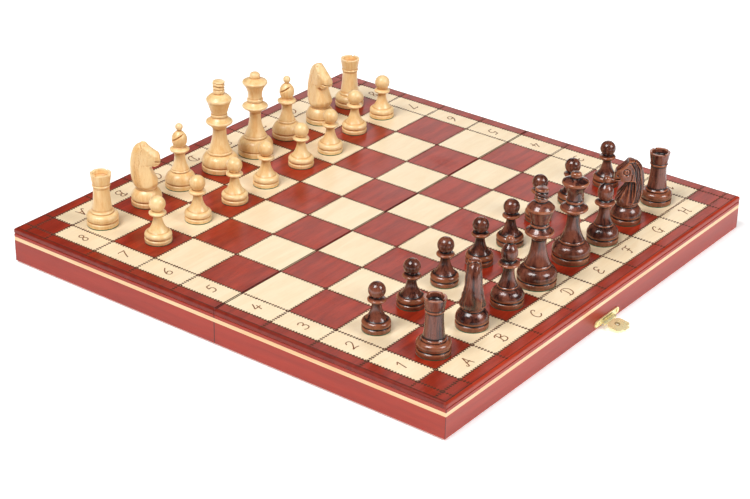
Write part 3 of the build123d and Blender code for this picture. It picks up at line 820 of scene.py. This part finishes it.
ROOK_H, KNIGHT_H, KNOB_Z, SLOT_Z = 37.4, 45.6, 62.8, 38.0
SLOT_SLANT, BACK_SLANT = math.radians(32), math.radians(38)
OUTLINES = {
    "pawn": foot(9.1, 3.6, 5.3) + [(7.0, 7.6, 0.5), (3.0, 18.0, -1.0), (3.1, 18.9), (5.1, 19.7),
                                   (5.1, 21.5, 0.75), (3.0, 22.2)] + ball(3.0, 5.4, 26.9),
    "rook": foot(10.7, 4.0, 5.6) + [
        (7.3, 9.3, 1.3), (7.3, 10.9, 0.5), (6.7, 11.8), (5.5, 27.6, -0.35), (6.0, 28.4, 0.1),
        (6.0, 29.3, 0.2), (5.7, 29.7), (6.0, 30.6, 0.1), (6.3, 32.2), (7.1, ROOK_H), (5.3, ROOK_H),
        (4.7, 34.2), (3.9, 33.6), (0, 33.4)],
    "bishop": foot(10.7, 4.1, 5.4) + [
        (6.0, 11.7, 1.2), (6.0, 13.3, 0.6), (5.8, 14.0), (3.7, 24.0, -0.6), (4.1, 25.8), (6.2, 26.9),
        (6.2, 28.7, 0.6), (4.4, 29.7), (3.9, 30.4), (5.0, 37.4, 0.8), (1.5, 41.5, 0.45)]
        + ball(1.5, 2.65, 44.25),
    "queen": foot(12.6, 4.5, 6.2) + [
        (7.8, 12.6, 1.5), (7.8, 14.6, 0.6), (7.4, 15.6), (4.1, 32.0, -1.1), (8.2, 35.4, -0.25),
        (8.2, 37.6, 0.95), (5.1, 40.2, -0.1), (5.2, 42.6, 0.6), (8.4, 53.4, -1.35), (8.4, 55.5, 0.5),
        (3.3, 57.8, 0.1), (3.4, 60.6, 0.35), (1.8, 61.8, 0.25), (0, 62.1)],
    "king": foot(12.8, 4.5, 6.2) + [
        (8.2, 12.6, 1.5), (8.2, 14.6, 0.6), (7.8, 15.6), (4.8, 31.4, -0.9), (8.4, 35.1, -0.25),
        (8.4, 37.4, 0.95), (5.4, 40.2, -0.1), (5.4, 42.5, 0.55), (8.3, 51.4), (8.2, 54.1, 0.65),
        (3.5, 57.2, 0.5), (3.5, 57.6), (4.1, 58.2), (4.1, 60.0), (3.6, 60.5), (4.1, 61.0), (4.3, 65.6),
        (3.7, 66.4, 0.15), (0, 66.9)],
    "knight base": foot(10.5, 4.1, 5.4) + [(6.7, 12.0, 0.9), (6.7, 13.3, 0.3), (6.95, 13.5), (0, 13.5)],
}
SEGMENTS = {"pawn": 64, "rook": 96, "bishop": 88, "queen": 80, "king": 96, "knight base": 80}

# %% Saw cuts and notches
def notch_rook(spot):
    """Four V notches in the rim."""
    x, y, z = spot.T
    depth = np.clip(1.2 - np.minimum(abs(x), abs(y)) * 1.3, 0, 0.95)
    rim = unit((z - (ROOK_H - 1.6)) / 1.6) * (np.hypot(x, y) > 4.0)
    spot[:, 2] = z - depth * rim
    return -depth * rim * 0.8


def slot_bishop(spot):
    """One slanting saw cut in the mitre, open to +x."""
    x, y, z = spot.T
    off = abs((z - SLOT_Z) * math.cos(SLOT_SLANT) - y * math.sin(SLOT_SLANT))
    share = unit((0.62 - off) / 0.3) * (x > 2.0) * (abs(z - SLOT_Z) < 5)
    spot[:, 0] = x - share * np.clip(x - 2.7, 0, None)
    return -share


def cut_king(spot):
    """Slanting cuts all round the knob."""
    x, y, z = spot.T
    wave = abs(np.sin(0.5 * np.arctan2(y, x) + (z - KNOB_Z) * 1.25))
    share = unit(1 - wave / 0.75) * unit((z - 60.8) / 0.5) * unit((66.0 - z) / 0.5)
    scale = 1 - share * 0.24
    spot[:, 0], spot[:, 1] = x * scale, y * scale
    return -share * 1.2


CUTS = {"rook": notch_rook, "bishop": slot_bishop, "king": cut_king}


def points_of(mesh):
    spot = np.empty(len(mesh.vertices) * 3, np.float32)
    mesh.vertices.foreach_get("co", spot)
    return spot.reshape(-1, 3).astype(float)


def turned_mesh(kind):
    points, bend = worn_outline(outline_points(OUTLINES[kind]))
    source = paths_mesh([[(r * MM, 0, z * MM) for r, z in points]])
    source.attributes.new("bend", "FLOAT", "POINT").data.foreach_set("value", bend)
    mesh = close_up(grown(kind, LATHE_TREE, source, Segments=SEGMENTS[kind], Wood=DARK_WOOD, Felt=FELT))
    if kind in CUTS:
        spot = points_of(mesh) / MM
        kept = mesh.attributes["bend"].data
        values = np.empty(len(spot), np.float32)
        kept.foreach_get("value", values)
        kept.foreach_set("value", np.clip(values + CUTS[kind](spot), -1, 1).astype(np.float32))
        mesh.vertices.foreach_set("co", (spot * MM).astype(np.float32).ravel())
    return mesh


MEN = {kind: turned_mesh(kind) for kind in OUTLINES}
for kind, mesh in MEN.items():
    print(kind, "faces:", len(mesh.polygons))

# %% [markdown]
# The knights are carved, so no outline alone can give them. A carver saws the side
# view and the slanting faces from a turned blank, and then cuts the details. The same
# order works with distances: each saw cut says how far a point lies outside it, the
# larger distance wins with a little rounding, and shallow carving adds to it. The
# surface is where the result is zero, found cell by cell.

# %% Saw cuts as distances
def polygon_distance(u, v, corners):
    """Distance to a polygon, below zero inside it."""
    best = np.full(np.broadcast(u, v).shape, 1e9)
    inside = np.zeros(best.shape, bool)
    for (ax, ay), (bx, by) in zip(corners, np.roll(corners, -1, axis=0)):
        ex, ey = bx - ax, by - ay
        if ex * ex + ey * ey < 1e-9:
            continue
        t = unit(((u - ax) * ex + (v - ay) * ey) / (ex * ex + ey * ey))
        best = np.minimum(best, (u - ax - t * ex) ** 2 + (v - ay - t * ey) ** 2)
        if ey:
            inside ^= ((ay > v) != (by > v)) & (u < ex * (v - ay) / ey + ax)
    return np.where(inside, -1, 1) * np.sqrt(best)


def both(a, b, rounding):
    """What lies inside a and b, its edges rounded."""
    share = unit(0.5 + 0.5 * (a - b) / rounding)
    return b + (a - b) * share + rounding * share * (1 - share)


def groove(off, width):
    """1 in the middle of a groove and 0 at its sides."""
    return unit(1 - abs(off) / (width / 2))


def surface_mesh(distance, low, step):
    """Closed mesh where the distance is zero, one point in each cell that it crosses."""
    cells = np.array(distance.shape) - 1
    total, count, quads = np.zeros((*cells, 3)), np.zeros(cells), []
    for axis in range(3):
        first = distance.take(range(cells[axis]), axis)
        second = distance.take(range(1, cells[axis] + 1), axis)
        edge = np.argwhere((first < 0) != (second < 0))
        a, b = first[tuple(edge.T)], second[tuple(edge.T)]
        point = edge.astype(float)
        point[:, axis] += a / (a - b)
        u, v = (axis + 1) % 3, (axis + 2) % 3
        ring = []
        for du, dv in ((0, 0), (1, 0), (1, 1), (0, 1)):
            cell = edge.copy()
            cell[:, u] -= du
            cell[:, v] -= dv
            np.add.at(total, tuple(cell.T), point)
            np.add.at(count, tuple(cell.T), 1)
            ring.append(np.ravel_multi_index(tuple(cell.T), tuple(cells)))
        quads.append(np.stack(ring, 1))
    used = count.ravel() > 0
    number = np.cumsum(used) - 1
    spot = total.reshape(-1, 3)[used] / count.ravel()[used][:, None]
    faces = [tuple(q) for q in number[np.concatenate(quads)]]
    return new_mesh("carved", [tuple(p) for p in (spot * step + low) * MM], faces=faces), spot

# %% Carve a knight's head
HEAD_LOW, JAW_Z = 13.35, 30.6
CARVING_STEP = 0.3


def knight_distance(depth, plain):
    """depth scales the fine carving. A plain head has no flutes, a narrow brow and a
    bevelled chest."""
    low = np.array((-11.4, -9.6, HEAD_LOW - 0.9))
    x, y, z = np.meshgrid(*[np.arange(a, b, CARVING_STEP) for a, b in zip(low, (11.2, 9.6, 46.8))],
                          indexing="ij", sparse=True)
    side_y = abs(y)
    blank = outline_points([(6.9, HEAD_LOW), (8.2, 14.4), (10.4, 27.0, 0.7), (8.6, 39.4, 0.6),
                            (0, KNIGHT_H, 6.41, 42.95)], (0, HEAD_LOW))
    blank = np.concatenate([blank, blank[::-1] * (-1, 1)])
    turned = polygon_distance(np.sqrt(x * x + y * y), z, blank)
    side = outline_points([(0.5, 48), (1.3, 44.6), (8.6, 38.0, 3.9, 41.2), (10.2, 33.6, 10.0, 36.2),
                           (8.6, 29.2, 10.0, 30.8), (5.6, 28.6, 7.2, 28.5), (2.7, 28.3, 4.2, 29.0),
                           (7.9, 17.0, 4.9, 23.0), (7.9, 12), (-13, 12)], (-13, 48))
    sawn = polygon_distance(x, z, side)
    faces = (side_y - np.interp(z, (13, 17, 24, 31, 38, 47), (8.7, 8.1, 6.6, 5.4, 4.7, 4.0))) * 0.98
    # two slanting cuts leave a flat band down the back
    spine = np.interp(z, (13, 25, 39, 47), (4.6, 3.4, 2.2, 1.6))
    rear = np.interp(z, (14, 20, 27, 39, 43, 46), (8.0, 9.9, 10.4, 8.6, 6.2, 1.0))
    shoulder = (side_y - spine) * math.cos(BACK_SLANT) - (x + rear) * math.sin(BACK_SLANT)
    # the face narrows towards the nose, above the jaw
    nose = (side_y - (6.1 - 0.27 * x)) * 0.96 - np.clip(29.6 - z, 0, None) * 0.7
    body = both(both(turned, faces, 0.5), shoulder, 0.4)
    body = both(both(body, sawn, 0.8), nose, 0.6)
    if plain:
        # two slanting cuts leave a narrow ridge down the brow, and spare the muzzle
        brow = 0.515 * (x - 1.5) + 0.649 * (side_y - 1.3) + 0.559 * (z - 44.0)
        muzzle = np.sqrt((x - 6.0) ** 2 + y * y + (z - 33.0) ** 2) - 4.5
        body = both(body, np.minimum(brow, muzzle), 0.6)
        chest = np.interp(z, (12, 17, 23, 28.4, 29.4), (7.9, 7.9, 5.1, 2.8, 9.0))
        body = both(body, (side_y - 5.0) * 0.75 + (x - chest) * 0.66, 0.4)
    body = both(body, HEAD_LOW - z, 0.2)

    # ears: a V between them, and a nick behind
    parting = 45.4 if plain else 46.2
    body = np.maximum(body, (0.9 - side_y + (z - parting)) * 0.7 - np.clip(abs(x + 0.1) - 2.6, 0, None) * 2)
    body += 0.55 * groove((x + 3.1) + (z - 44) * 0.35, 1.2) * (z > 42)
    # mouth and nostrils
    mouth = abs((z - 31.7) * 0.98 + (x - 8.4) * 0.2) - 0.42
    body = np.maximum(body, -np.maximum(mouth, 6.0 - x))
    nostril = np.sqrt((x - 8.1) ** 2 + (z - 34.4) ** 2)
    body += unit(1 - nostril / 0.95) * 0.9 * (side_y > 1.0) * depth
    # eye: a ring and a dot, sunk a little
    eye = np.sqrt((x - 2.4) ** 2 + (z - 37.2) ** 2)
    on_side = side_y > 2.5
    body += (0.75 * groove(eye - 2.1, 1.3) + 0.6 * groove(eye, 1.3)) * on_side * depth
    # the jaw stands out over the neck, and the neck is cut in long flutes
    back = x + rear
    below_jaw = unit((JAW_Z - z) / 0.5)
    under = below_jaw * unit((z - 15.5) / 9)
    ahead_of_mane = unit((back - 6.2) / 0.8)
    flutes = abs(np.cos(np.arctan2(side_y, x + 2.5) * 7)) * below_jaw * unit((z - 14.6) / 2)
    body += (1.3 * under + 0.8 * flutes) * ahead_of_mane * depth ** 2
    # cheek line up from the jaw
    cheek = np.sqrt((x - 4.4) ** 2 + (z - 34.0) ** 2)
    body += 0.6 * groove(cheek - 5.6, 1.3) * on_side * (x < 2.0) * (z < 35.5) * (z > 29) * depth
    # mane: a dark rough strip behind the cheek, and a clean edge behind it
    strip = unit((back - 1.9) / 0.4) * unit((6.0 - back) / 0.4) * (z > 15.5) * (z < 44)
    strokes = abs(np.sin(z * 0.35 + back * 2.1 + 0.5 * np.sin(z * 1.3)))
    mane = strip * on_side
    body += mane * (0.55 + 0.55 * unit(1 - strokes * 1.4)) * depth
    # how much darker than its bend each place is coloured: the mane strip is stained darker, the throat
    # under the jaw gets painted shade, and the face above the jaw is made lighter
    shade = mane * 0.5 + under * ahead_of_mane * unit((z - 25) / 4) * 0.7
    shade -= (z > JAW_Z) * ahead_of_mane * on_side * 0.3
    return body, shade * depth, low


def knight_mesh(depth, plain):
    distance, shade, low = knight_distance(depth, plain)
    mesh, cell = surface_mesh(distance, low, CARVING_STEP)
    soft = distance.copy()
    for _ in range(3):
        for axis in range(3):
            soft = (np.roll(soft, 1, axis) + soft + np.roll(soft, -1, axis)) / 3
    near = tuple(np.clip(np.round(cell).astype(int), 0, np.array(distance.shape) - 1).T)
    bend = np.clip((soft - distance)[near] / 0.2 - shade[near], -1, 1)
    mesh.attributes.new("bend", "FLOAT", "POINT").data.foreach_set("value", bend.astype(np.float32))
    mesh.polygons.foreach_set("use_smooth", [True] * len(mesh.polygons))
    joined = bmesh.new()
    joined.from_mesh(MEN["knight base"])
    joined.from_mesh(mesh)
    joined.to_mesh(mesh)
    joined.free()
    mesh.materials.append(DARK_WOOD)
    mesh.materials.append(FELT)
    return close_up(mesh)


# the dark knights are cut deep, and the light ones are left nearly plain
KNIGHTS = {"dark": knight_mesh(1.0, False), "light": knight_mesh(0.3, True)}
print("knight faces:", [len(mesh.polygons) for mesh in KNIGHTS.values()])

# %% Set up the men
WOOD = {"dark": (DARK_WOOD, "walnut_stained_wood"), "light": (LIGHT_WOOD, "boxwood")}
FILES = "abcdefgh"
TURNS = {"1": dict(zip(FILES, (-8, 35, 40, 60, 0, 45, 130, 60))),
         "8": dict(zip(FILES, (10, -46, 222, 222, 0, 215, 262, 20))),
         "27": {file: 37 * i for i, file in enumerate(FILES)}}


def foot_middle(node):
    """Middle of a man's foot, from the lowest points of its solid."""
    spot = points_of(node_of[node].data)
    ring = spot[spot[:, 2] < TOP + 3.0 * MM]
    middle = (ring.min(0) + ring.max(0)) / 2
    return (middle[0], middle[1], TOP)


def stand(node):
    """One man, where its solid stands."""
    square, tone, kind = node.split("_")
    turn = TURNS[square[1] if square[1] in "18" else "27"][square[0]]
    mesh = (KNIGHTS[tone] if kind == "knight" else MEN[kind]).copy()
    mesh.materials[0], slot = WOOD[tone]
    mesh.transform(Matrix.Translation(foot_middle(node)) @ Matrix.Rotation(math.radians(turn), 4, "Z"))
    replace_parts(new_piece("man_" + node, mesh, "man_" + square), node)


men_nodes = sorted(n for n in node_of if "_dark_" in n or "_light_" in n)
for node in men_nodes:
    stand(node)
print("men set up:", len(men_nodes))

# %% Camera, floor and light
CAMERA_AT = (-0.97375, -0.71758, 0.61997)
FOCAL, SENSOR = 95.83, 36.0
FLOOR_HALF, FLOOR_Z = 9, -1.3 * MM

camera = linked("camera", bpy.data.cameras.new("camera"))
camera.data.lens, camera.data.sensor_width, camera.data.sensor_fit = FOCAL, SENSOR, "HORIZONTAL"
camera.data.clip_end = 50.0
right, down, ahead = ((0.60510328, -0.79593261, 0.0184744), (-0.35557864, -0.2909429, -0.88820947),
                      (0.71232987, 0.53088936, -0.45906714))
turn = Matrix((right, [-c for c in down], [-c for c in ahead])).transposed().to_4x4()
camera.matrix_world = Matrix.Translation(CAMERA_AT) @ turn
bpy.context.scene.camera = camera

corners = [(x * FLOOR_HALF, y * FLOOR_HALF, FLOOR_Z) for x, y in ((-1, -1), (1, -1), (1, 1), (-1, 1))]
floor = linked("floor", new_mesh("floor", corners, faces=[(0, 1, 2, 3)]))
floor.data.materials.append(paint(new_material("floor_paper")[0], {
    "Base Color": (0.95, 0.95, 0.95, 1), "Roughness": 0.9, "Emission Color": WHITE,
    "Emission Strength": 0.37}))

world = bpy.data.worlds.new("studio")
world.use_nodes = True
sky = world.node_tree
up = xyz(add(sky, "ShaderNodeTexCoord").outputs["Generated"])[2]
wire(up.ramp(0.0, 0.9, 0.34, 0.85), sky.nodes["Background"].inputs["Strength"])
bpy.context.scene.world = world
bpy.context.scene.view_settings.view_transform = "Standard"

# lamps face the middle of the board: name, place, width, height and watts
for name, where, width, height, power in (("key", (-1.1, 0.2, 1.9), 1.0, 1.0, 43),
                                          ("side", (0.3, -1.5, 1.2), 0.8, 0.8, 20),
                                          ("glow", (2.1, 1.2, 1.1), 1.3, 0.9, 6.3)):
    lamp = linked(name, bpy.data.lights.new(name, "AREA"))
    lamp.data.shape, lamp.data.size, lamp.data.size_y = "RECTANGLE", width, height
    lamp.data.energy, lamp.location = power, where
    lamp.rotation_euler = (-Vector(where)).to_track_quat("-Z", "Y").to_euler()
print("camera", camera.location)
